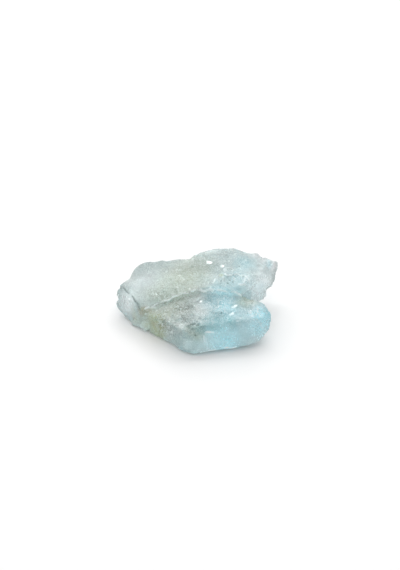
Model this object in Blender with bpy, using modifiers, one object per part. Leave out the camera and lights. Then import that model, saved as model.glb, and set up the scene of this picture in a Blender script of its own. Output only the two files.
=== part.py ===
"""A rough aquamarine crystal: one natural piece, lying on its flat underside.

Two crystals have grown together. Behind is a broad slab with a raised right half, and in front of it a
prism whose top lies a step below the slab's rim. Each is a convex block drawn from its corners. The blocks
are joined into one solid, whose surface is then worn, broken along small planes, grooved and pitted, as
rough beryl is.

Frame: +Z is up, +X runs along the stone, and +Y goes from the prism in front to the slab behind. The origin
is the middle of the stone's box, on the surface it rests on. Sizes are millimetres, and MM turns them into
the scene's metres.
"""

import math

import bmesh
import bpy
import numpy as np
from mathutils import Vector, noise

MM = 0.001
NAME = "aquamarine_crystal"

# ---- The blocks, as corners in millimetres ----

# The slab's left half: a flat top that rises to the back, and a steep left end.
SLAB_LEFT = {
    "top": [
        (-18.0, 6.3, 7.2),
        (-12.2, -2.9, 5.8),
        (-5.6, -0.6, 8.2),
        (1.2, 0.2, 10.0),
        (-2.1, 10.7, 12.0),
        (-4.7, 11.2, 11.5),
        (-8.9, 11.8, 10.2),
        (-13.0, 12.1, 9.6),
        (-14.4, 11.2, 9.2),
        (-15.8, 9.4, 8.1),
        (-16.8, 7.6, 7.2),
    ],
    "left end": [
        (-19.0, 5.0, 5.5),
        (-19.2, 3.4, 2.9),
        (-18.5, 1.9, 1.5),
        (-16.8, -0.2, 0.4),
        (-13.9, -1.8, 0.1),
        (-12.0, -2.9, 0.1),
    ],
    "foot": [(-16.2, 8.0, 1.8), (-13.4, 11.4, 3.4), (-2.0, 11.0, 2.4), (-5.0, 8.8, 0.0), (-12.6, 3.4, 0.0)],
}
# The slab's raised right half. Its right end hangs over, above the notch between the two crystals.
SLAB_RIGHT = {
    "top": [
        (-3.4, 6.0, 10.6),
        (-1.8, 10.9, 12.2),
        (0.5, 11.6, 13.0),
        (3.8, 11.8, 13.7),
        (7.5, 11.9, 13.8),
        (9.6, 12.0, 13.6),
        (11.3, 11.6, 13.0),
        (13.8, 11.2, 12.2),
        (16.4, 10.5, 10.5),
        (15.0, 5.7, 11.0),
        (12.3, 1.8, 11.4),
        (10.2, -0.3, 11.3),
        (7.3, -1.4, 10.6),
        (1.2, -0.1, 10.2),
    ],
    "right end": [
        (18.7, 10.8, 10.4),
        (19.0, 9.4, 8.8),
        (18.4, 8.2, 7.4),
        (16.9, 6.8, 6.3),
        (15.3, 5.2, 5.4),
        (15.1, 3.9, 4.6),
        (13.3, 1.7, 4.6),
    ],
    "foot": [(-4.0, 10.8, 3.0), (0.0, 9.8, 0.4), (8.0, 11.8, 3.2), (14.6, 10.2, 3.8), (11.0, 6.6, 0.0)],
}
# The prism in front. Its back edge lies under the slab.
PRISM = {
    "top": [
        (-11.7, -3.5, 5.8),
        (-5.7, 0.8, 7.4),
        (1.2, 1.8, 9.1),
        (7.3, 0.6, 9.6),
        (11.8, -1.4, 9.3),
        (15.1, -2.7, 8.0),
        (16.7, -4.9, 6.7),
        (14.4, -7.0, 6.9),
        (10.5, -8.3, 7.3),
        (6.0, -9.1, 7.3),
        (0.7, -10.5, 7.0),
        (-3.9, -10.7, 6.6),
        (-7.3, -7.2, 6.2),
    ],
    "lower edge": [
        (-11.1, -3.6, 0.2),
        (-8.0, -5.2, 0.4),
        (-6.2, -7.3, 0.4),
        (-3.3, -10.4, 0.6),
        (-0.6, -12.2, 0.8),
        (2.1, -12.2, 0.9),
        (11.0, -10.3, 1.4),
        (14.5, -8.6, 1.8),
        (16.4, -6.9, 2.3),
        (16.9, -5.5, 4.2),
    ],
    "foot": [(-9.0, 0.4, 0.0), (4.0, 4.4, 0.0), (12.0, 0.4, 0.0), (11.0, -6.2, 0.0), (0.0, -9.6, 0.0)],
}
# The step down from the slab's front rim to the prism, seen from above: the rim and then its front.
STEP_PLAN = [(-12.2, -2.9), (-5.6, -0.6), (1.2, -0.1), (7.3, -1.4), (9.6, -3.6), (9.6, -15.6), (-12.2, -15.6)]
STEP_HEIGHTS = (4.0, 20.0)

# ---- The surface, in millimetres ----

VOXEL = 0.30
ROUNDING_PASSES = 4
FLOOR_WEAR = 0.15  # everything lower than this is worn flat, and is what the stone rests on
FLOOR_SNAP = 0.05
TRIANGLES = 9400

# Lumps: (size of a lump, how far it stands out).
LUMPS = [(5.0, 0.26), (2.2, 0.13), (1.0, 0.06)]

# Flat faces: a point on each, its outward normal, and how far it reaches. A face's edge turns up by this
# share of its reach.
FACE_RIM = 0.36
LEAST_FACING = -0.1  # the cosine between a point's normal and a face's, past which the face doesn't cut it
FLAT_FACES = [
    ((6.5, -10.7, 3.4), (0.18, -0.92, 0.34), 7.5),
    ((-16.6, 1.8, 3.4), (-0.70, -0.70, 0.14), 4.5),
    ((-11.5, 3.9, 7.65), (-0.24, -0.22, 0.95), 6.0),
    ((16.1, -6.5, 4.6), (0.86, -0.48, 0.17), 3.2),
    ((2.0, 11.3, 6.5), (-0.05, 0.99, 0.10), 8.0),
]

# Grooves: the line they follow, half their width, and their depth.
END_CRACK = ([(-18.0, 5.6, 6.3), (-16.2, 3.4, 6.2), (-14.9, 1.4, 6.1), (-12.9, -2.4, 5.8)], 0.45, 0.40)
CHEEK_CRACK = ([(-12.0, -3.5, 5.4), (-12.0, -3.3, 3.6), (-11.7, -3.2, 1.8)], 0.50, 0.25)
RIM_CRACK = ([(-12.0, -3.2, 5.8), (-5.6, -0.9, 7.6), (1.2, -0.4, 9.3), (7.3, -1.7, 9.7)], 0.55, 0.60)
FRONT_HOLLOW = ([(-2.2, -10.0, 6.4), (1.2, -10.2, 6.2), (4.5, -9.6, 6.4), (8.5, -9.3, 6.2)], 0.95, 0.85)
NOTCH_CREASE = ([(8.6, -2.0, 9.9), (11.4, -1.0, 8.8), (13.4, 0.0, 7.4)], 0.70, 0.35)
GROOVES = [END_CRACK, CHEEK_CRACK, RIM_CRACK, FRONT_HOLLOW, NOTCH_CREASE]

# Pits: where they are, their radius, and their depth.
PITS = [
    ((-18.9, 4.3, 4.2), 0.9, 0.6),
    ((16.9, -5.2, 4.0), 0.9, 0.6),
    ((-2.0, 11.3, 11.8), 1.1, 0.6),
    ((16.6, 5.6, 5.4), 1.4, 0.7),
]

# Chips: shallow scoops broken off the surface, longer along the stone than across it. They keep away from
# the grooves' lines and from the lowest edges.
CHIP_SEED = 11
CHIP_COUNT = 230
CHIP_RADIUS = (0.9, 2.6)
CHIP_STRETCH = 1.5
CHIP_DEPTH = (0.00, 0.12)
CHIP_TILT = math.radians(14)
CHIP_WEAR_PASSES = 1
CHIP_CLEARANCE = 1.3
CHIP_LOWEST = 2.2


def clear_scene():
    for old in list(bpy.data.objects):
        bpy.data.objects.remove(old, do_unlink=True)


def new_collection(name):
    collection = bpy.data.collections.new(name)
    bpy.context.scene.collection.children.link(collection)
    return collection


def hull_block(name, corners, collection):
    """A convex solid around the given corners, as a helper that isn't rendered."""
    shape = bmesh.new()
    for corner in corners:
        shape.verts.new(Vector(corner) * MM)
    hull = bmesh.ops.convex_hull(shape, input=shape.verts)
    inside = [item for item in hull["geom_interior"] if isinstance(item, bmesh.types.BMVert)]
    bmesh.ops.delete(shape, geom=inside, context="VERTS")
    bmesh.ops.recalc_face_normals(shape, faces=shape.faces)
    mesh = bpy.data.meshes.new(name)
    shape.to_mesh(mesh)
    shape.free()
    block = bpy.data.objects.new(name, mesh)
    block.hide_render = True
    block.display_type = "WIRE"
    collection.objects.link(block)
    return block


def corners_of(block):
    return [corner for group in block.values() for corner in group]


def boolean(target, other, operation):
    modifier = target.modifiers.new(f"{operation} {other.name}".lower(), "BOOLEAN")
    modifier.operation = operation
    modifier.object = other


def joined_blocks(helpers):
    """The slab's two halves, cut back to the rim, with the prism joined on in front."""
    slab = hull_block("slab_left_block", corners_of(SLAB_LEFT), helpers)
    boolean(slab, hull_block("slab_right_block", corners_of(SLAB_RIGHT), helpers), "UNION")
    step_corners = [(x, y, z) for x, y in STEP_PLAN for z in STEP_HEIGHTS]
    boolean(slab, hull_block("step_cutter", step_corners, helpers), "DIFFERENCE")
    boolean(slab, hull_block("prism_block", corners_of(PRISM), helpers), "UNION")
    return slab


def evaluated_mesh(shape):
    bpy.context.view_layer.update()
    return bpy.data.meshes.new_from_object(shape.evaluated_get(bpy.context.evaluated_depsgraph_get()))


def fine_mesh(blocks):
    """The joined blocks as one even mesh, fine enough to carve."""
    remesh = blocks.modifiers.new("even mesh", "REMESH")
    remesh.mode = "VOXEL"
    remesh.voxel_size = VOXEL * MM
    return evaluated_mesh(blocks)


def read_surface(mesh):
    """(points, outward normals) of a mesh's vertices, with the points in millimetres."""
    points = np.empty(len(mesh.vertices) * 3, np.float32)
    mesh.vertices.foreach_get("co", points)
    normals = np.empty(len(mesh.vertices) * 3, np.float32)
    mesh.vertex_normals.foreach_get("vector", normals)
    return points.reshape(-1, 3) / MM, normals.reshape(-1, 3)


def write_points(mesh, points):
    mesh.vertices.foreach_set("co", (points * MM).astype(np.float32).ravel())
    mesh.update()


def round_off(mesh, passes):
    shape = bmesh.new()
    shape.from_mesh(mesh)
    for _ in range(passes):
        bmesh.ops.smooth_vert(
            shape, verts=shape.verts, factor=0.5, use_axis_x=True, use_axis_y=True, use_axis_z=True
        )
    shape.to_mesh(mesh)
    shape.free()


def raise_lumps(mesh, size, height):
    """Low swellings and hollows all over the surface."""
    points, normals = read_surface(mesh)
    swell = np.array([noise.noise(Vector(point) / size) for point in points])
    write_points(mesh, points + normals * (swell * height * 2)[:, None])


def plane_off(points, facing, centre, normal, radius, depth, stretch=1.0):
    """Takes off what stands above a face, the given depth below the centre, that turns up before the radius.

    facing holds each point's own outward normal: a wall across a notch from the face is left alone.
    """
    away = points - centre
    spread = np.linalg.norm(away / (stretch, 1.0, 1.0), axis=1) / radius
    above = away @ normal + depth - (depth + FACE_RIM * radius) * spread**6
    near = (spread < 1) & (facing @ normal > LEAST_FACING)
    points -= np.where(near, np.clip(above, 0, None), 0)[:, None] * normal


def plane_flat_faces(mesh):
    points, facing = read_surface(mesh)
    for centre, normal, radius in FLAT_FACES:
        plane_off(points, facing, np.array(centre), np.array(Vector(normal).normalized()), radius, 0.0)
    write_points(mesh, points)


def break_chips(mesh):
    points, facing = read_surface(mesh)
    random = np.random.default_rng(CHIP_SEED)
    lines = [distance_to_line(points, line) for line, _, _ in GROOVES]
    clear = (np.min(lines, axis=0) > CHIP_CLEARANCE) & (points[:, 2] > CHIP_LOWEST)
    for start in random.choice(np.flatnonzero(clear), CHIP_COUNT, replace=False):
        lean = random.normal(size=3)
        normal = facing[start] + lean / np.linalg.norm(lean) * math.tan(CHIP_TILT)
        normal /= np.linalg.norm(normal)
        radius = random.uniform(*CHIP_RADIUS)
        depth = random.uniform(*CHIP_DEPTH)
        plane_off(points, facing, points[start].copy(), normal, radius, depth, CHIP_STRETCH)
    write_points(mesh, points)


def distance_to_line(points, line):
    """Each point's distance to a line of straight runs."""
    nearest = np.full(len(points), np.inf)
    for start, end in zip(line, line[1:]):
        start, run = np.array(start), np.array(end) - np.array(start)
        along = np.clip((points - start) @ run / (run @ run), 0, 1)
        nearest = np.minimum(nearest, np.linalg.norm(points - start - along[:, None] * run, axis=1))
    return nearest


def carve(mesh, distance, half_width, depth):
    """Sinks the surface by a rounded hollow, where distance is each point's from the hollow's middle."""
    points, normals = read_surface(mesh)
    hollow = np.clip(1 - (distance(points) / half_width) ** 2, 0, None)
    write_points(mesh, points - normals * (hollow * depth)[:, None])


def carve_grooves(mesh):
    for line, half_width, depth in GROOVES:
        carve(mesh, lambda points: distance_to_line(points, line), half_width, depth)


def carve_pits(mesh):
    for centre, radius, depth in PITS:
        carve(mesh, lambda points: np.linalg.norm(points - centre, axis=1), radius, depth)


def wear_flat(mesh):
    """The flat underside."""
    points, _ = read_surface(mesh)
    points[:, 2] = np.clip(points[:, 2] - FLOOR_WEAR, 0, None)
    write_points(mesh, points)


def thin_out(stone):
    """Leaves only as many triangles as the surface's shape needs."""
    decimate = stone.modifiers.new("thin out", "DECIMATE")
    decimate.ratio = TRIANGLES / sum(len(face.vertices) - 2 for face in stone.data.polygons)
    stone.data = evaluated_mesh(stone)
    stone.modifiers.remove(decimate)


def stand_on_origin(mesh):
    """Puts the middle of the stone's box above the origin, and its underside on the ground."""
    points, _ = read_surface(mesh)
    points[:, :2] -= (points.min(axis=0) + points.max(axis=0))[:2] / 2
    points[points[:, 2] < FLOOR_SNAP, 2] = 0
    write_points(mesh, points)


def aquamarine_material():
    material = bpy.data.materials.new("aquamarine")
    material.use_nodes = True
    shader = material.node_tree.nodes["Principled BSDF"]
    shader.inputs["Base Color"].default_value = (0.42, 0.62, 0.62, 1.0)
    shader.inputs["Roughness"].default_value = 0.35
    shader.inputs["Metallic"].default_value = 0.0
    shader.inputs["IOR"].default_value = 1.577
    return material


def main():
    clear_scene()
    stone_parts = new_collection("aquamarine")
    helpers = new_collection("helpers")
    mesh = fine_mesh(joined_blocks(helpers))
    round_off(mesh, ROUNDING_PASSES)
    for size, height in LUMPS:
        raise_lumps(mesh, size, height)
    break_chips(mesh)
    plane_flat_faces(mesh)
    round_off(mesh, CHIP_WEAR_PASSES)
    carve_grooves(mesh)
    carve_pits(mesh)
    wear_flat(mesh)
    stone = bpy.data.objects.new(NAME, mesh)
    stone_parts.objects.link(stone)
    thin_out(stone)
    stand_on_origin(stone.data)
    stone.data.name = NAME
    stone.data.materials.append(aquamarine_material())


main()
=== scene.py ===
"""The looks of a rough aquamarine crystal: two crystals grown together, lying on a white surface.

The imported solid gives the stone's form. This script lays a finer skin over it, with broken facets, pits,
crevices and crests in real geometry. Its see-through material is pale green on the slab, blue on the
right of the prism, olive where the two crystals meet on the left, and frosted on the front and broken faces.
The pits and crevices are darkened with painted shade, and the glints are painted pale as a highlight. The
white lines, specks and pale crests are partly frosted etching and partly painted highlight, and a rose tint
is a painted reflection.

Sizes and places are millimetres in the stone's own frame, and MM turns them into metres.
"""

import math

import bpy
import numpy as np
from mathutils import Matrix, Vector, kdtree, noise


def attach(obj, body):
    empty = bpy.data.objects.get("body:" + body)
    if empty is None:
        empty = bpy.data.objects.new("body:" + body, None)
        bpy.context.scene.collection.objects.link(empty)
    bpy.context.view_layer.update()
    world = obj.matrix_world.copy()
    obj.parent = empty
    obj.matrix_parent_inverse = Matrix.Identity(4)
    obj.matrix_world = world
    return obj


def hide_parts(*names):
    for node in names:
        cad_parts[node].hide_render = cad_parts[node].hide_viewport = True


MM = 0.001
NODE = "aquamarine_crystal"

# ---- The camera ----

PICTURE = (400, 570)
CAMERA_TARGET = Vector((0.5, -1.6, 12.1)) * MM
CAMERA_DISTANCE = 250 * MM
CAMERA_ELEVATION = math.radians(35)
CAMERA_NEAREST = 10 * MM
VIEW_WIDTH = 90 * MM  # what the picture's width takes in at the target

# ---- The light ----

SKY_STRENGTH = 0.855
SOFTBOX_PLACE = (0, 390, 390)
SOFTBOX_SIDE = 500 * MM
SOFTBOX_WATTS = 1.35
# Lamps: (place, watts). The first is the one that the glints face.
LAMPS = [((-120, 260, 620), 0.24), ((300, 300, 480), 0.26), ((-330, 240, 420), 0.18)]
LAMP_SIDE = 100 * MM
FLOOR_SIDE = 3000 * MM
FLOOR_GAP = 0.02 * MM
FLOOR_BRIGHTNESS = 0.86
FLOOR_ROUGHNESS = 0.9

# ---- The skin ----

# The seeds of what is drawn at random, and of how lines and patches stray.
SEED = 20
STRAY_SEED = 1
SKIN_VOXEL = 0.179
# How many passes smooth the skin, and by what shares each one draws the points in and then back out.
SKIN_SMOOTHING = 8
DRAW_IN = 0.50
DRAW_OUT = 0.52
# Points lower than this rest on the floor.
BASE = 0.05

# Swellings: (size of a swelling, its height).
SWELLINGS = [(2.2, 0.010), (0.8, 0.015), (0.5, 0.012)]
# Broken facets: (how many, the spread of their tilt, the spread of their level).
FACETS = [(2000, 0.03, 0.003), (9000, 0.09, 0.005), (25000, 0.16, 0.008)]
# Veins, which wander over the stone as low crests: their spacing, height, half width and how pale they are.
VEIN_SPACING = 2.4
VEIN_HEIGHT = 0.05
VEIN_HALF_WIDTH = 0.30
VEIN_PALENESS = 0.6

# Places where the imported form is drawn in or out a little: (middle, reach, shift).
SHIFTS = [
    ((-17.4, 6.8, 7.0), 3.0, (-0.30, 0, 0.20)),
    ((-14.8, 10.0, 8.4), 3.5, (-0.65, 0, 0.32)),
    ((-12.0, 11.7, 9.5), 3.0, (-0.10, 0, 0.30)),
    ((-18.3, 3.1, 2.6), 2.0, (-0.25, 0, 0)),
    ((-16.0, 0.3, 0.4), 2.5, (0.50, 0.30, 0)),
    ((-11.9, -2.6, 0.3), 2.5, (0, -0.60, 0)),
    ((-9.4, 11.8, 10.2), 2.5, (0, 0, -0.15)),
    ((-8.3, 11.5, 10.2), 2.0, (0, 0, -0.12)),
    ((-6.8, 11.2, 10.1), 3.0, (0, 0, 0.40)),
    ((-3.9, 10.8, 10.7), 2.5, (0, 0, 0.45)),
    ((3.0, 11.0, 12.9), 4.0, (0, 0, -0.20)),
    ((6.2, 11.9, 13.2), 2.5, (0, 0, -0.25)),
    ((11.3, 11.5, 13.1), 3.0, (0, 0, -0.60)),
    ((17.2, 10.5, 10.5), 3.0, (0, 0, 0.20)),
    ((18.6, 10.5, 9.7), 2.0, (0.25, 0, 0)),
    ((18.7, 9.1, 8.1), 2.0, (-0.40, 0, 0)),
    ((2.0, -1.6, 8.4), 3.0, (0, 0, 0.30)),
    ((14.7, 4.0, 4.7), 2.5, (0.90, 0, 0)),
    ((16.1, -3.9, 7.2), 2.0, (-0.35, 0, 0)),
    ((16.4, -5.2, 5.6), 1.8, (0.35, 0, 0)),
    ((15.9, -6.9, 3.6), 1.8, (0.30, 0, 0)),
    ((15.7, -7.3, 2.0), 3.5, (-0.55, 0.20, 0)),
]
# Places drawn towards a plane of their own: (middle, reach, how far).
FLATTENED = [
    ((-11.5, 6.8, 8.6), 9.0, 0.85),
    ((5.5, -11.0, 3.2), 7.0, 0.50),
    ((8.0, 5.0, 12.2), 6.0, 0.50),
    ((0.0, 5.5, 11.3), 7.0, 0.60),
]
# Only points that face the plane's way are drawn to it: none up to this cosine, and all from a little above.
LEAST_FACING = 0.70
FACING_RISE = 0.15
# Places where the form is ironed out: (middle, reach), and how many passes that takes.
IRONED = [
    ((-12.5, 8.0, 8.7), 8.0), ((-6.0, 9.5, 10.6), 5.5), ((5.0, -10.8, 3.0), 7.0), ((10.0, 9.0, 12.8), 5.0),
    ((7.2, -8.9, 6.3), 3.5), ((-1.5, -0.4, 8.4), 3.0), ((1.5, -0.5, 8.7), 3.0), ((4.5, -0.9, 9.0), 3.0),
    ((7.5, -1.3, 8.9), 3.0), ((10.0, -1.8, 8.7), 2.5), ((8.5, 5.5, 12.3), 5.0), ((2.5, 6.5, 12.0), 4.0),
    ((-2.0, 5.5, 10.8), 5.0), ((2.0, 3.5, 11.0), 3.5),
]
IRONING_PASSES = 80

# Crests, as lines: (line, half its width, its height, how pale). Their paleness is partly frosted edge and
# partly painted highlight along lit edges and arcs.
RIM = [
    (-12.3, -2.2, 5.5), (-10.0, -1.2, 6.2), (-8.6, -1.0, 6.7), (-7.4, -0.5, 7.2), (-5.5, -0.4, 7.9),
    (-3.2, -0.3, 8.7), (-1.3, 0.0, 9.3), (0.1, 0.2, 9.7),
]
RIM_MIDDLE = [(0.1, 0.2, 9.6), (1.6, 0.5, 9.2), (3.6, -0.4, 10.0), (5.4, -0.5, 9.8), (7.3, -0.8, 9.9)]
RIM_FAR = [(7.3, -0.8, 9.9), (9.3, -0.8, 9.2), (10.4, -1.5, 9.0)]
CURL = [
    (0.8, 0.0, 8.6), (1.5, 0.3, 8.8), (2.2, -0.1, 9.8), (2.9, -0.3, 10.2), (3.4, -0.3, 9.7),
    (3.1, -0.3, 9.1),
]
PRISM_CREST = [
    (-8.5, -5.1, 6.1), (-6.7, -7.6, 5.9), (-4.4, -9.9, 6.2), (-2.2, -10.9, 5.9), (-0.8, -11.0, 5.9),
]
LEDGE = [(1.0, -10.6, 5.1), (2.1, -10.0, 5.2), (3.3, -10.0, 5.3), (3.7, -10.4, 5.1)]
FACE_EDGE = [(1.1, -10.6, 5.0), (1.5, -11.3, 3.9), (2.1, -11.5, 2.9), (2.0, -11.9, 1.2)]
LOWER_EDGE = [(0.4, -12.1, 0.9), (1.7, -11.9, 0.9), (4.1, -11.5, 1.1), (6.5, -11.2, 1.3), (9.0, -10.3, 1.1)]
ARC_LEFT = [(1.0, 2.9, 10.6), (1.7, 2.0, 10.4), (2.6, 2.0, 10.7)]
ARC_RIGHT = [(4.0, 2.7, 11.1), (3.6, 1.8, 10.9), (3.1, 1.2, 10.6)]
SQUIGGLE_RIGHT = [(8.4, 3.6, 11.9), (9.4, 3.1, 11.7), (10.8, 2.2, 12.0), (11.6, 1.3, 11.4), (11.9, 0.4, 10.4)]
SQUIGGLE_MIDDLE = [(9.0, 1.0, 11.3), (9.6, -0.5, 11.1), (10.6, 0.2, 11.0), (11.2, 1.4, 11.4)]
SQUIGGLE_LEFT = [(5.6, 3.6, 11.8), (6.4, 3.3, 11.8), (7.8, 3.2, 11.5), (8.2, 4.2, 12.0)]
CAP_STREAKS = [
    [(-17.6, 3.6, 5.9), (-17.4, 2.9, 5.3), (-17.0, 2.3, 3.8)],
    [(-16.6, 2.9, 6.2), (-16.2, 1.8, 5.3), (-15.6, 1.1, 4.6)],
    [(-18.3, 4.4, 5.6), (-18.4, 3.9, 4.0)],
    [(-18.3, 3.8, 3.9), (-17.9, 3.0, 2.9)],
]
WALL_RIDGES = [
    [(12.7, 1.9, 10.2), (12.6, 1.8, 8.9), (12.3, 1.5, 7.9), (12.2, 1.4, 6.9)],
    [(13.6, 2.7, 9.6), (13.4, 2.4, 8.5), (13.2, 2.1, 7.5), (13.0, 2.1, 6.4)],
    [(14.4, 3.6, 9.6), (14.2, 3.2, 8.7), (14.0, 2.9, 7.5), (13.8, 3.3, 5.9), (13.6, 3.0, 4.9)],
    [(15.3, 4.7, 8.7), (15.1, 4.3, 8.0), (14.9, 4.1, 6.7), (14.7, 4.1, 5.3)],
    [(16.2, 5.8, 8.4), (15.9, 5.1, 7.7), (15.7, 4.7, 6.8), (15.4, 4.5, 5.8)],
    [(17.1, 7.2, 8.2), (16.7, 6.3, 7.7), (16.3, 5.2, 7.0)],
]
CRESTS = [
    (RIM, 0.28, 0.07, 0.90),
    (RIM_MIDDLE, 0.36, 0.09, 1.00),
    (RIM_FAR, 0.34, 0.07, 0.85),
    (SQUIGGLE_RIGHT, 0.30, 0.05, 0.75),
    (SQUIGGLE_MIDDLE, 0.30, 0.05, 0.70),
    (SQUIGGLE_LEFT, 0.30, 0.05, 0.65),
    (CURL, 0.32, 0.06, 0.75),
    (PRISM_CREST, 0.40, 0.03, 0.25),
    (LEDGE, 0.34, 0.09, 0.85),
    (FACE_EDGE, 0.34, 0.07, 0.50),
    (LOWER_EDGE, 0.32, 0.04, 0.70),
    (ARC_LEFT, 0.32, 0.07, 0.80),
    (ARC_RIGHT, 0.32, 0.07, 0.75),
    *[(ridge, 0.38, 0.09, 0.28) for ridge in WALL_RIDGES],
    *[(streak, 0.30, 0.08, 0.50) for streak in CAP_STREAKS],
]

# Crevices, as lines: (line, half its width, its depth, how dark the painted shade in it is).
UNDER_RIM = [
    (-12.8, -2.3, 5.0), (-11.3, -2.1, 5.7), (-9.7, -1.5, 6.0), (-8.3, -1.3, 6.5), (-6.9, -0.9, 6.9),
    (-5.1, -0.5, 7.2), (-3.7, -0.3, 7.9),
]
UNDER_RIM_FAR = [(-3.7, -0.3, 7.9), (-1.8, -0.2, 8.4), (-0.2, -0.2, 8.3), (3.0, -0.7, 9.0), (7.0, -1.3, 9.0)]
END_CRACK = [
    (-17.9, 5.6, 6.5), (-16.8, 4.3, 6.4), (-15.8, 2.8, 6.5), (-15.0, 1.8, 6.1), (-14.3, 0.5, 5.9),
    (-13.4, -1.2, 5.3), (-12.8, -2.3, 4.6),
]
CHEEK_CRACK = [(-12.8, -2.3, 4.6), (-12.8, -2.4, 3.4), (-12.6, -2.3, 1.1)]
CREVICES = [
    (UNDER_RIM, 0.27, 0.12, 0.60),
    (UNDER_RIM_FAR, 0.34, 0.05, 0.05),
    (END_CRACK, 0.28, 0.24, 0.80),
    (CHEEK_CRACK, 0.30, 0.10, 0.45),
]
# How far apart a line's points are, how far they stray from its run, and over what size.
LINE_STEP = 0.08
STRAY = 0.35
STRAY_SIZE = 1.2
# How strong a line is on average and at least, and by how much it varies along its run.
LINE_STRENGTH = 0.85
LINE_LEAST = 0.3
LINE_VARIATION = 0.5
# The length over which a line fades in and out at its ends.
TAPER = 0.5

# Pits, darkened with painted shade: (middle, radius, depth). Each one's slope ends at this many times its
# radius.
PIT_EDGE = 1.3
PITS = [
    ((-10.8, 1.6, 7.2), 0.35, 0.20),
    ((5.3, 1.5, 11.2), 0.34, 0.20),
    ((6.9, 1.1, 10.6), 0.34, 0.20),
    ((7.4, 2.1, 10.7), 0.30, 0.15),
    ((8.0, 1.6, 10.7), 0.34, 0.20),
    ((3.6, 2.3, 11.1), 0.30, 0.15),
    ((9.6, 5.6, 12.4), 0.38, 0.20),
    ((0.1, -9.7, 7.1), 0.40, 0.30),
    ((-1.1, -9.5, 7.1), 0.40, 0.30),
    ((-0.6, -9.4, 7.1), 0.30, 0.20),
    ((-0.5, -11.1, 5.0), 0.35, 0.20),
    ((5.3, -6.6, 8.0), 0.30, 0.15),
]

# Glints: small polished facets that face halfway between the camera and the first lamp: (middle, reach).
# Each one ends at GLINT_EDGE times its reach. The higher GLINT_FLATNESS is, the nearer to there it is flat.
# The material also paints the glints pale: a painted highlight.
GLINT_EDGE = 1.3
GLINT_FLATNESS = 3
GLINTS = [
    ((-7.3, 7.6, 9.5), 0.34),
    ((-4.2, 5.4, 9.9), 0.34),
    ((-9.2, 5.3, 8.5), 0.28),
    ((-3.2, 4.0, 9.8), 0.30),
    ((-4.8, 7.2, 10.3), 0.24),
    ((-4.8, 2.3, 8.8), 0.28),
    ((-1.9, 0.9, 9.3), 0.34),
    ((-9.4, 1.0, 7.5), 0.28),
    ((-1.1, 9.6, 11.7), 0.30),
    ((2.4, 7.8, 12.0), 0.56),
    ((2.9, 7.5, 12.1), 0.48),
    ((5.7, 6.0, 12.1), 0.52),
    ((7.3, 7.4, 12.6), 0.28),
    ((11.2, 8.0, 12.4), 0.34),
    ((13.0, 2.1, 9.2), 0.34),
    ((-11.7, -2.8, 5.0), 0.42),
    ((-9.4, -2.9, 6.0), 0.28),
    ((-8.4, -5.8, 4.7), 0.34),
    ((-17.1, 2.5, 4.6), 0.30),
    ((-15.9, 1.6, 5.9), 0.30),
    ((0.7, -2.4, 8.1), 0.42),
    ((2.1, -3.5, 8.0), 0.34),
    ((7.6, -4.8, 8.1), 0.42),
    ((8.0, -4.4, 8.1), 0.50),
    ((8.6, -4.1, 8.3), 0.46),
    ((7.3, -6.9, 7.7), 0.44),
    ((7.8, -6.5, 7.8), 0.46),
    ((9.6, -7.8, 7.4), 0.30),
    ((8.9, -8.6, 7.1), 0.28),
    ((11.9, -5.5, 7.8), 0.28),
    ((13.2, -6.3, 7.4), 0.32),
    ((14.2, -8.2, 6.0), 0.30),
]

# How strongly the broken relief, the fine etching (white lines and specks, partly painted highlight), the
# veins
# and the dark flecks show: over the whole stone, and then place by place (middle, reach, strength).
TEXTURES = {
    "rough": (0.42, [
        ((-4.0, -6.0, 6.4), 8.0, 0.45),
        ((3.5, -5.5, 8.0), 6.0, 0.25),
        ((17.0, 8.5, 9.0), 4.0, 0.60),
        ((14.5, 3.0, 7.0), 5.0, 0.40),
        ((-17.0, 4.0, 5.5), 4.0, 0.45),
        ((15.5, -5.0, 6.0), 3.5, 0.35),
        ((0.0, 13.0, 2.0), 12.0, 2.20),
        ((17.5, 5.0, 3.0), 6.0, 1.50),
        ((15.0, -3.0, 2.5), 5.0, 1.20),
        ((-18.0, 8.0, 3.0), 6.0, 1.50),
        ((6.7, -10.8, 3.0), 7.0, -0.30),
        ((-12.0, 6.5, 8.4), 7.0, -0.20),
    ]),
    "etched": (0.45, [
        ((15.0, 3.5, 8.0), 6.0, 0.35),
        ((17.0, 9.5, 9.8), 4.0, 0.40),
        ((6.7, -10.8, 3.0), 7.0, -0.15),
        ((-12.5, 7.0, 8.3), 6.0, -0.10),
        ((-4.5, -5.6, 6.5), 7.5, 0.75),
        ((-7.5, -6.5, 4.6), 4.5, 0.35),
        ((1.0, -8.0, 7.2), 4.0, 0.35),
        ((4.0, -4.5, 8.2), 6.0, 0.55),
        ((13.0, -6.0, 7.4), 5.0, 0.60),
        ((-8.0, 1.5, 7.8), 7.0, 0.25),
        ((0.0, 12.5, 4.0), 12.0, -0.25),
    ]),
    "veined": (0.15, [
        ((9.0, 2.0, 11.3), 8.0, 0.85),
        ((2.5, 0.8, 10.0), 3.5, 0.60),
        ((17.0, 8.0, 9.0), 4.0, 0.50),
        ((-7.0, -4.0, 6.2), 5.0, 0.35),
        ((12.0, -5.0, 8.0), 4.0, 0.45),
    ]),
    "flecked": (0.05, [
        ((-5.5, -7.0, 6.0), 5.0, 0.70),
        ((-0.8, -9.8, 6.8), 2.6, 0.90),
        ((-8.0, -5.4, 5.4), 3.2, 0.60),
        ((7.0, 1.6, 10.8), 3.2, 0.50),
        ((-9.5, 0.5, 7.3), 4.5, 0.25),
    ]),
}

# ---- The colours, and the patches where each one shows: (middle, reach, strength) ----

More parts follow.
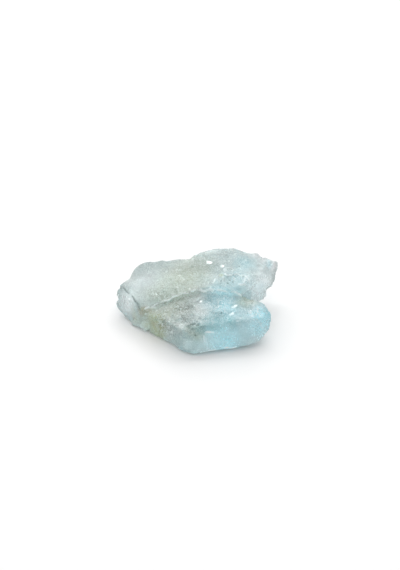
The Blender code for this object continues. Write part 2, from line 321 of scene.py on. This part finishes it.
BODY = (0.77, 0.86, 0.85)
TINTS = {
    "frost": (0.96, 1.00, 1.00),
    "grey": (0.48, 0.55, 0.51),
    "blue": (0.44, 0.88, 1.00),
    "olive": (0.58, 0.57, 0.30),
    "brown": (0.46, 0.36, 0.18),
    "teal": (0.32, 0.70, 0.76),
    # The rose tint is a painted pinkish reflection.
    "rose_reflection": (0.97, 0.90, 0.94),
}
# The pale colour serves the white marks, which are partly painted highlight, and the glints' painted
# highlight. The dark colour serves the dark flecks and the painted shade in crevices and pits.
PALE_AND_HIGHLIGHT = (0.94, 1.00, 1.00)
FLECK_AND_SHADE_DARK = (0.16, 0.22, 0.20)
PATCHES = {
    "olive": [
        ((-10.1, -4.6, 3.4), 5.0, 1.0),
        ((-9.6, -4.9, 1.0), 4.5, 0.75),
        ((-8.3, -5.8, 4.6), 4.2, 0.7),
        ((-4.5, 2.4, 9.0), 9.5, 0.36),
        ((-1.0, 6.5, 11.2), 8.0, 0.32),
        ((-10.5, 1.5, 7.3), 5.5, 0.26),
        ((-6.0, -3.5, 6.4), 6.5, 0.30),
        ((-4.0, -9.5, 4.0), 5.0, 0.12),
        ((11.4, -2.8, 8.6), 3.0, 0.48),
        ((9.8, -3.4, 8.5), 2.8, 0.40),
        ((-14.4, -1.2, 2.2), 3.2, 0.50),
        ((-0.5, -10.8, 5.6), 3.4, 0.40),
        ((5.6, 3.2, 11.6), 0.7, 0.80),
        ((-5.0, 12.0, 4.0), 8.0, 0.45),
    ],
    "brown": [((-12.3, -2.1, 5.3), 2.2, 0.9), ((-9.9, -4.3, 3.8), 1.8, 0.35)],
    "grey": [
        ((-13.0, 7.0, 8.0), 7.0, 0.26),
        ((8.0, 6.0, 12.3), 8.0, 0.50),
        ((1.5, 4.0, 11.0), 6.0, 0.25),
        ((2.2, 2.5, 10.6), 4.0, 0.30),
        ((11.2, 2.2, 11.6), 3.0, 0.22),
        ((-14.5, 5.0, 7.5), 3.0, 0.22),
        ((-5.2, -5.8, 6.2), 8.0, 0.70),
        ((-9.5, -3.4, 5.4), 4.0, 0.35),
        ((0.5, -8.0, 7.2), 5.0, 0.40),
    ],
    "blue": [
        ((6.3, -4.2, 8.5), 7.0, 0.90),
        ((14.0, -6.4, 5.8), 7.5, 1.0),
        ((6.0, -10.8, 3.4), 8.5, 0.90),
        ((-2.5, -11.0, 3.0), 5.0, 0.35),
        ((15.0, 2.5, 7.5), 5.5, 0.20),
        ((-16.5, 2.5, 3.5), 4.5, 0.06),
        ((10.7, 7.1, 12.1), 4.0, 0.45),
        ((16.2, 9.6, 10.2), 1.8, 0.60),
        ((4.5, -1.2, 8.8), 4.5, 0.55),
        ((9.0, 1.5, 11.0), 4.5, 0.35),
        ((10.0, 11.5, 6.0), 8.0, 0.55),
    ],
    "teal": [
        ((7.1, -8.2, 7.4), 2.3, 1.0),
        ((3.8, -9.1, 6.5), 3.8, 0.65),
        ((0.5, -9.5, 6.4), 3.0, 0.5),
        ((8.1, -8.9, 5.9), 1.6, 0.45),
    ],
    # The rose tint is a painted pinkish reflection, on the slab's upper left and on the right tip.
    "rose_reflection": [((-11.9, 6.0, 8.0), 5.0, 0.3), ((18.3, 9.9, 9.2), 2.6, 0.35), ((14.1, 10.9, 11.7), 2.6, 0.25)],
    "frost": [
        ((-15.6, 9.0, 7.8), 4.0, 0.40),
        ((17.4, 10.1, 10.2), 4.0, 0.6),
        ((14.1, 10.9, 11.7), 3.6, 0.5),
        ((12.6, 1.6, 9.5), 3.2, 0.6),
        ((15.0, 3.5, 8.0), 7.0, 1.0),
        ((15.3, 4.2, 7.0), 5.0, 0.9),
        ((5.5, -11.0, 3.0), 8.5, 0.85),
        ((-15.0, 8.0, 3.0), 5.0, 0.40),
        ((-16.4, 1.9, 4.4), 4.2, 0.75),
        ((13.0, -6.6, 7.3), 4.5, 0.85),
        ((14.5, -7.5, 4.0), 6.0, 0.85),
        ((-3.1, -9.3, 6.6), 2.0, 0.7),
        ((-2.4, -11.4, 3.0), 1.8, 0.6),
        ((7.5, -5.2, 8.1), 4.2, 0.66),
        ((1.0, -4.5, 7.8), 3.5, 0.45),
    ],
}
# How far a patch's outline strays, and over what size.
PATCH_STRAY = 1.0
PATCH_STRAY_SIZE = 3.0

# ---- The material ----

# The noises that the material is drawn from: (size, detail) and, for some, how much they are twisted.
CLOUDS = (2.5, 4)
GRAINS = (0.5, 3)
GRIT = (0.22, 1)
FLECKS = (0.6, 2, 0.4)
LINE_DETAIL = 1
LINE_TWIST = 0.8
# Winding white lines, partly etching and partly painted highlight on the etched ridges: (size, half their
# width, in the noise's own values). They are fully white over the middle share of that width that LINE_CORE
# gives.
ETCHED_LINES = (0.75, 0.050)
VEINED_LINES = (1.9, 0.040)
LINE_CORE = 0.2
# Where each thing shows: none of it up to the first value, and all of it from the second on.
CLOUDS_WITH_LINES = (0.28, 0.52)
GRIT_WITH_SPECKS = (0.57, 0.66)
NOISE_WITH_FLECKS = (0.54, 0.66)
PALE_SHOWS = (0.15, 0.70)
CREVICE_SHADE_SHOWS = (0.25, 0.95)
GLINTS_SHOW = (0.35, 0.60)
GLINT_RAGGEDNESS = 1.6
# White specks, partly painted sparkle: how strong they are everywhere, and how much stronger where the stone
# is etched.
SPECKS = 0.18
ETCHED_SPECKS = 0.6
# A tint's strength in the darkest clouds, and how much it gains in the palest.
TINT_LEAST = 0.85
TINT_GAIN = 0.3
# How far the colour goes to pale or dark: white marks (partly painted highlight), dark flecks, painted shade
# in crevices and pits, and the glints' painted highlight.
WHITE_AND_HIGHLIGHT_SHARE = 0.85
FLECK_SHARE = 0.8
CREVICE_SHADE_SHARE = 0.85
GLINT_PAINTED_HIGHLIGHT = 0.40
# How clear the stone is, and what frost, white marks and glints take off that.
CLEARNESS = 0.64
FROST_VEIL = 0.32
WHITE_VEIL = 0.30
GLINT_VEIL = 0.10
# How rough it is, and what grain, frost and pale crests add to that. Glints lose most of it.
ROUGHNESS = 0.09
GRAIN_ROUGHNESS = 0.20
FROST_ROUGHNESS = 0.10
PALE_ROUGHNESS = 0.20
GLINT_POLISH = 0.7
# The fine relief: the bump's strength and height, and how much grit and grain make of it.
BUMP_STRENGTH = 0.72
BUMP_HEIGHT = 0.10 * MM
GRIT_RELIEF = 0.9
GRAIN_RELIEF = 0.2
# Aquamarine's refractive index, and what it absorbs inside.
REFRACTIVE_INDEX = 1.577
ABSORPTION_COLOUR = (0.40, 0.90, 1.00)
ABSORPTION_DENSITY = 30

random = np.random.default_rng(SEED)
noise.seed_set(STRAY_SEED)  # noise_vector would differ from run to run without it


# ---- Points of a mesh, as arrays in millimetres ----

def read_points(mesh):
    points = np.empty(len(mesh.vertices) * 3, np.float32)
    mesh.vertices.foreach_get("co", points)
    return points.reshape(-1, 3).astype(float) / MM


def write_points(mesh, points):
    mesh.vertices.foreach_set("co", (points * MM).astype(np.float32).ravel())
    mesh.update()


def read_normals(mesh):
    normals = np.empty(len(mesh.vertices) * 3, np.float32)
    mesh.vertex_normals.foreach_get("vector", normals)
    return normals.reshape(-1, 3).astype(float)


def move_out(mesh, heights):
    """Moves each point along its normal by its own height."""
    write_points(mesh, read_points(mesh) + read_normals(mesh) * heights[:, None])


def neighbour_mean(values, edges):
    """Each point's mean over its neighbours."""
    total = np.zeros_like(values)
    for axis in range(values.shape[1]):
        total[:, axis] += np.bincount(edges[:, 0], values[edges[:, 1], axis], len(values))
        total[:, axis] += np.bincount(edges[:, 1], values[edges[:, 0], axis], len(values))
    return total / np.bincount(edges.ravel(), minlength=len(values))[:, None]


def read_edges(mesh):
    edges = np.empty(len(mesh.edges) * 2, np.int32)
    mesh.edges.foreach_get("vertices", edges)
    return edges.reshape(-1, 2)


def smooth_without_shrinking(mesh, passes):
    edges = read_edges(mesh)
    points = read_points(mesh)
    for _ in range(passes):
        points += DRAW_IN * (neighbour_mean(points, edges) - points)
        points -= DRAW_OUT * (neighbour_mean(points, edges) - points)
    write_points(mesh, points)


def adjust_form(mesh):
    """Draws the form in or out a little at SHIFTS, flattens it at FLATTENED and irons it out at IRONED."""
    edges = read_edges(mesh)
    points = read_points(mesh)
    normals = read_normals(mesh)
    places = points.copy()
    for place, reach, share in FLATTENED:
        near = near_place(places, place, reach)[:, None]
        middle = (points * near).sum(axis=0) / near.sum()
        facing = (normals * near).sum(axis=0)
        facing /= np.linalg.norm(facing)
        near = near[:, 0] * np.clip((normals @ facing - LEAST_FACING) / FACING_RISE, 0, 1)
        points -= (share * near * ((points - middle) @ facing))[:, None] * facing
    for place, reach, shift in SHIFTS:
        points += near_place(places, place, reach)[:, None] * np.array(shift)
    share = np.zeros(len(points))
    for place, reach in IRONED:
        share = np.maximum(share, near_place(places, place, reach))
    for _ in range(IRONING_PASSES):
        points += (share / 2)[:, None] * (neighbour_mean(points, edges) - points)
    write_points(mesh, points)


def noise_at(points, size):
    """Noise between about -1 and 1, drawn from a place of its own."""
    shift = Vector(random.uniform(0, 50, 3))
    return 2 * np.array([noise.noise(Vector(point) / size + shift) for point in points])


def stray(points, amount, size):
    """The points shifted a little this way and that, so that what is drawn by them wanders."""
    shift = Vector(random.uniform(0, 50, 3))
    ways = np.array([noise.noise_vector(Vector(point) / size + shift) for point in points])
    return points + amount * ways


def near_line(points, tree, line, half_width):
    """How strong a line laid over the skin is at each point, down to 0 at half its width.

    The tree holds the skin's points.
    """
    run = []
    for start, end in zip(line, line[1:]):
        steps = math.ceil(math.dist(start, end) / LINE_STEP)
        run += [np.array(start) + (np.array(end) - start) * step / steps for step in range(steps)]
    run = stray(np.array(run), STRAY, STRAY_SIZE)
    from_end = np.minimum(np.arange(len(run)), np.arange(len(run))[::-1]) * LINE_STEP
    strengths = np.clip(LINE_STRENGTH + LINE_VARIATION * noise_at(run, STRAY_SIZE), LINE_LEAST, 1)
    strengths *= np.clip(from_end / TAPER, 0, 1)
    near = np.zeros(len(points))
    for place, strength in zip(run, strengths):
        for _, index, away in tree.find_range(tree.find(place)[0], half_width):
            near[index] = max(near[index], strength * (1 - (away / half_width) ** 2))
    return near


def near_place(points, place, reach):
    """1 at a place, falling smoothly to 0 at its reach."""
    return np.clip(1 - ((points - place) ** 2).sum(axis=1) / reach ** 2, 0, None) ** 2


# ---- The stone's skin ----

def in_fixed_order(mesh):
    """The points, no edges and the faces of a mesh of quads, sorted by place.

    The remesh gives them in an order that changes from run to run.
    """
    points = read_points(mesh)
    order = np.lexsort(points.T)
    rank = np.empty(len(order), int)
    rank[order] = np.arange(len(order))
    corners = np.empty(len(mesh.loops), np.int32)
    mesh.loops.foreach_get("vertex_index", corners)
    faces = rank[corners].reshape(-1, 4)
    turns = faces.argmin(axis=1)[:, None] + np.arange(4)
    faces = np.take_along_axis(faces, turns % 4, axis=1)
    faces = faces[np.lexsort(faces.T)]
    return (points[order] * MM).tolist(), [], faces.tolist()


def skin_mesh(solid):
    """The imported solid's surface as one even, fine mesh."""
    draft = bpy.data.objects.new("skin_draft", solid.data.copy())
    bpy.context.scene.collection.objects.link(draft)
    remesh = draft.modifiers.new("skin", "REMESH")
    remesh.mode = "VOXEL"
    remesh.voxel_size = SKIN_VOXEL * MM
    bpy.context.view_layer.update()
    remeshed = bpy.data.meshes.new_from_object(draft.evaluated_get(bpy.context.evaluated_depsgraph_get()))
    bpy.data.objects.remove(draft, do_unlink=True)
    mesh = bpy.data.meshes.new("aquamarine_stone")
    mesh.from_pydata(*in_fixed_order(remeshed))
    return mesh


def break_facets(mesh, count, tilt, level, rough):
    """Breaks the surface into small flat faces, each with a tilt and a level of its own."""
    points = read_points(mesh)
    middles = points[random.choice(len(points), count, replace=False)]
    tree = kdtree.KDTree(count)
    for index, middle in enumerate(middles):
        tree.insert(middle, index)
    tree.balance()
    own = np.array([tree.find(point)[1] for point in points])
    slopes = random.normal(size=(count, 3)) * tilt
    levels = random.normal(size=count) * level
    rise = np.einsum("ij,ij->i", points - middles[own], slopes[own]) + levels[own]
    move_out(mesh, rise * rough)


def polish_glints(mesh):
    """Turns the skin at each glint into a small flat face towards the light, and returns where they are."""
    points = read_points(mesh)
    camera = np.array(CAMERA_TARGET + camera_back() * CAMERA_DISTANCE) / MM
    glint = np.zeros(len(points))
    for place, reach in GLINTS:
        away = ((points - place) ** 2).sum(axis=1)
        middle = points[away.argmin()]
        near = np.clip(1 - ((points - middle) ** 2).sum(axis=1) / (reach * GLINT_EDGE) ** 2, 0, None)
        to_camera = Vector(camera - middle).normalized()
        to_lamp = Vector(np.array(LAMPS[0][0]) - middle).normalized()
        facing = np.array((to_camera + to_lamp).normalized())
        flatness = np.clip(near * GLINT_FLATNESS, 0, 1)
        points -= (flatness * ((points - middle) @ facing))[:, None] * facing
        glint = np.maximum(glint, near)
    write_points(mesh, points)
    return glint


def tint_strengths(places):
    """For each tint, how strongly it shows at each point."""
    strayed = stray(places, PATCH_STRAY, PATCH_STRAY_SIZE)
    strengths = {}
    for tint, patches in PATCHES.items():
        left_out = np.ones(len(places))
        for place, reach, strength in patches:
            left_out *= 1 - strength * near_place(strayed, place, reach)
        strengths[tint] = 1 - left_out
    return strengths


def make_stone(solid):
    mesh = skin_mesh(solid)
    smooth_without_shrinking(mesh, SKIN_SMOOTHING)
    adjust_form(mesh)
    places = read_points(mesh)
    values = tint_strengths(places)
    for texture, (overall, patches) in TEXTURES.items():
        values[texture] = np.full(len(places), overall)
        for place, reach, strength in patches:
            values[texture] += strength * near_place(places, place, reach)
    rough = values.pop("rough")

    for (size, height), facets in zip(SWELLINGS, FACETS):
        move_out(mesh, noise_at(read_points(mesh), size) * height * rough)
        break_facets(mesh, *facets, rough)

    tree = kdtree.KDTree(len(places))
    for index, place in enumerate(places):
        tree.insert(place, index)
    tree.balance()
    vein = 1 - np.abs(noise_at(places, VEIN_SPACING)) * VEIN_SPACING / VEIN_HALF_WIDTH
    vein = np.clip(vein, 0, None) * np.clip(values["veined"], 0, 1)
    heights = vein * VEIN_HEIGHT
    values["pale"] = vein * VEIN_PALENESS
    # The dark value below is painted shade in the crevices and pits.
    values["crevice_shade"] = np.zeros(len(places))
    # Crest paleness is partly painted highlight along lit edges.
    for line, half_width, height, paleness in CRESTS:
        near = near_line(places, tree, line, half_width)
        heights = np.maximum(heights, near * height)
        values["pale"] = np.maximum(values["pale"], near * paleness)
    for line, half_width, depth, darkness in CREVICES:
        near = near_line(places, tree, line, half_width)
        heights -= near * depth
        values["crevice_shade"] = np.maximum(values["crevice_shade"], near * darkness)
    for place, radius, depth in PITS:
        near = near_place(places, place, radius * PIT_EDGE)
        heights -= near * depth
        values["crevice_shade"] = np.maximum(values["crevice_shade"], near)
    move_out(mesh, heights)
    values["glint"] = polish_glints(mesh)

    points = read_points(mesh)
    points[:, 2] = np.where(places[:, 2] < BASE, 0, np.clip(points[:, 2], 0, None))
    write_points(mesh, points)
    for name, strengths in values.items():
        attribute = mesh.attributes.new(name, "FLOAT", "POINT")
        attribute.data.foreach_set("value", strengths.astype(np.float32))
    mesh.shade_smooth()
    mesh.materials.clear()
    mesh.materials.append(aquamarine_material())
    stone = bpy.data.objects.new("aquamarine_stone", mesh)
    bpy.context.scene.collection.objects.link(stone)
    return stone


# ---- The material ----

def aquamarine_material():
    material = bpy.data.materials.new("aquamarine")
    material.use_nodes = True
    nodes, links = material.node_tree.nodes, material.node_tree.links
    shader = nodes["Principled BSDF"]
    coordinates = nodes.new("ShaderNodeTexCoord")

    def feed(value, socket):
        if isinstance(value, bpy.types.NodeSocket):
            links.new(value, socket)
        elif isinstance(value, tuple):
            socket.default_value = (*value, 1)
        else:
            socket.default_value = value

    def attribute(name):
        node = nodes.new("ShaderNodeAttribute")
        node.attribute_name = name
        return node.outputs["Fac"]

    def calculate(operation, *values):
        node = nodes.new("ShaderNodeMath")
        node.operation = operation
        for value, socket in zip(values, node.inputs):
            feed(value, socket)
        return node.outputs["Value"]

    def between(value, low, high):
        """0 up to low, 1 from high on, and a smooth rise between them."""
        node = nodes.new("ShaderNodeMapRange")
        node.interpolation_type = "SMOOTHSTEP"
        feed(value, node.inputs["Value"])
        node.inputs["From Min"].default_value = low
        node.inputs["From Max"].default_value = high
        return node.outputs["Result"]

    def noise_field(size, detail, twist=0.0):
        node = nodes.new("ShaderNodeTexNoise")
        node.inputs["Scale"].default_value = 1 / (size * MM)
        node.inputs["Detail"].default_value = detail
        node.inputs["Distortion"].default_value = twist
        links.new(coordinates.outputs["Object"], node.inputs["Vector"])
        return node.outputs["Fac"]

    def mix(factor, first, second):
        node = nodes.new("ShaderNodeMix")
        node.data_type = "RGBA"
        feed(factor, node.inputs["Factor"])
        feed(first, node.inputs[6])
        feed(second, node.inputs[7])
        return node.outputs[2]

    def from_middle(field):
        """How far a noise is above its middle value."""
        return calculate("SUBTRACT", field, 0.5)

    def winding_lines(size, half_width, strength):
        """Thin winding lines, along which a noise passes through its middle."""
        away = calculate("ABSOLUTE", from_middle(noise_field(size, LINE_DETAIL, LINE_TWIST)))
        return calculate("MULTIPLY", between(away, half_width, half_width * LINE_CORE), strength)

    cloud = noise_field(*CLOUDS)
    grain = noise_field(*GRAINS)
    grit = noise_field(*GRIT)
    etched = attribute("etched")
    frost = attribute("frost")
    lines = calculate(
        "MAXIMUM",
        winding_lines(*ETCHED_LINES, etched),
        winding_lines(*VEINED_LINES, attribute("veined")),
    )
    line = calculate("MULTIPLY", lines, between(cloud, *CLOUDS_WITH_LINES))
    speck_strength = calculate("MULTIPLY_ADD", etched, ETCHED_SPECKS, SPECKS)
    speck = calculate("MULTIPLY", between(grit, *GRIT_WITH_SPECKS), speck_strength)
    flecks = between(noise_field(*FLECKS), *NOISE_WITH_FLECKS)
    fleck = calculate("MULTIPLY", flecks, attribute("flecked"))
    pale = between(attribute("pale"), *PALE_SHOWS)
    crevice_shade = between(attribute("crevice_shade"), *CREVICE_SHADE_SHOWS)
    ragged = calculate("MULTIPLY_ADD", from_middle(grain), GLINT_RAGGEDNESS, attribute("glint"))
    glint = between(ragged, *GLINTS_SHOW)
    white = calculate("MAXIMUM", calculate("MAXIMUM", line, speck), pale)

    tint_strength = calculate("MULTIPLY_ADD", cloud, TINT_GAIN, TINT_LEAST)
    colour = BODY
    for tint, value in TINTS.items():
        colour = mix(calculate("MULTIPLY", attribute(tint), tint_strength), colour, value)
    # Marks over the colour: white lines, specks and crests, partly painted highlight; dark flecks; painted
    # shade in the crevices and pits; a painted highlight on the glints.
    marks = [
        (white, WHITE_AND_HIGHLIGHT_SHARE, PALE_AND_HIGHLIGHT),
        (fleck, FLECK_SHARE, FLECK_AND_SHADE_DARK),
        (crevice_shade, CREVICE_SHADE_SHARE, FLECK_AND_SHADE_DARK),
        (glint, GLINT_PAINTED_HIGHLIGHT, PALE_AND_HIGHLIGHT),
    ]
    for mark, share, value in marks:
        colour = mix(calculate("MULTIPLY", mark, share), colour, value)
    feed(colour, shader.inputs["Base Color"])

    clear = CLEARNESS
    for veil, loss in ((frost, FROST_VEIL), (white, WHITE_VEIL), (glint, GLINT_VEIL)):
        clear = calculate("MULTIPLY_ADD", veil, -loss, clear)
    feed(clear, shader.inputs["Transmission Weight"])
    matt = ROUGHNESS
    for cover, gain in ((grain, GRAIN_ROUGHNESS), (frost, FROST_ROUGHNESS), (pale, PALE_ROUGHNESS)):
        matt = calculate("MULTIPLY_ADD", cover, gain, matt)
    matt = calculate("MULTIPLY", matt, calculate("MULTIPLY_ADD", glint, -GLINT_POLISH, 1.0))
    feed(matt, shader.inputs["Roughness"])

    bump = nodes.new("ShaderNodeBump")
    bump.inputs["Strength"].default_value = BUMP_STRENGTH
    bump.inputs["Distance"].default_value = BUMP_HEIGHT
    relief = calculate("MULTIPLY_ADD", grain, GRAIN_RELIEF, line)
    relief = calculate("MULTIPLY_ADD", grit, GRIT_RELIEF, relief)
    relief = calculate("SUBTRACT", relief, fleck)
    feed(calculate("MULTIPLY", relief, calculate("SUBTRACT", 1.0, glint)), bump.inputs["Height"])
    feed(bump.outputs["Normal"], shader.inputs["Normal"])

    shader.inputs["IOR"].default_value = REFRACTIVE_INDEX
    absorption = nodes.new("ShaderNodeVolumeAbsorption")
    absorption.inputs["Color"].default_value = (*ABSORPTION_COLOUR, 1)
    absorption.inputs["Density"].default_value = ABSORPTION_DENSITY
    feed(absorption.outputs["Volume"], nodes["Material Output"].inputs["Volume"])
    return material


# ---- The floor, the light and the camera ----

def make_floor():
    mesh = bpy.data.meshes.new("floor")
    half = FLOOR_SIDE / 2
    corners = [(x, y, -FLOOR_GAP) for x, y in ((-half, -half), (half, -half), (half, half), (-half, half))]
    mesh.from_pydata(corners, [], [(0, 1, 2, 3)])
    material = bpy.data.materials.new("floor")
    material.use_nodes = True
    shader = material.node_tree.nodes["Principled BSDF"]
    shader.inputs["Base Color"].default_value = (*[FLOOR_BRIGHTNESS] * 3, 1)
    shader.inputs["Roughness"].default_value = FLOOR_ROUGHNESS
    mesh.materials.append(material)
    floor = bpy.data.objects.new("floor", mesh)
    bpy.context.scene.collection.objects.link(floor)


def add_lamp(name, place, side, watts):
    light = bpy.data.lights.new(name, "AREA")
    light.size = side
    light.energy = watts
    lamp = bpy.data.objects.new(name, light)
    lamp.location = Vector(place) * MM
    lamp.rotation_euler = (-lamp.location).to_track_quat("-Z", "Y").to_euler()
    bpy.context.scene.collection.objects.link(lamp)


def make_light():
    scene = bpy.context.scene
    scene.view_settings.view_transform = "Standard"
    scene.world = bpy.data.worlds.new("studio")
    scene.world.use_nodes = True
    background = scene.world.node_tree.nodes["Background"]
    background.inputs["Color"].default_value = (1, 1, 1, 1)
    background.inputs["Strength"].default_value = SKY_STRENGTH
    add_lamp("softbox", SOFTBOX_PLACE, SOFTBOX_SIDE, SOFTBOX_WATTS)
    for place, watts in LAMPS:
        add_lamp("lamp", place, LAMP_SIDE, watts)


def camera_back():
    """The direction from the target to the camera."""
    return Vector((0, -math.cos(CAMERA_ELEVATION), math.sin(CAMERA_ELEVATION)))


def make_camera():
    camera = bpy.data.cameras.new("camera")
    width, height = PICTURE
    view_height = VIEW_WIDTH * height / width
    camera.lens = camera.sensor_width * CAMERA_DISTANCE / view_height  # the sensor spans the longer side
    camera.clip_start = CAMERA_NEAREST
    holder = bpy.data.objects.new("camera", camera)
    holder.location = CAMERA_TARGET + camera_back() * CAMERA_DISTANCE
    holder.rotation_euler = (-camera_back()).to_track_quat("-Z", "Y").to_euler()
    bpy.context.scene.collection.objects.link(holder)
    bpy.context.scene.camera = holder


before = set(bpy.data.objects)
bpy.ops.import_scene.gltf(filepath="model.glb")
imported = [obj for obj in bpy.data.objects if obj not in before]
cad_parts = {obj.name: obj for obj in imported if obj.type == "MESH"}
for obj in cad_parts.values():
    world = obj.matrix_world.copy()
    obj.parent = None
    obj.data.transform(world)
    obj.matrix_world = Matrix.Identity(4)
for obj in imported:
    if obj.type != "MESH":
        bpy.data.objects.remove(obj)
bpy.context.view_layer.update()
make_camera()
make_light()
make_floor()
stone = make_stone(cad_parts[NODE])
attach(stone, "root")
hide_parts(NODE)
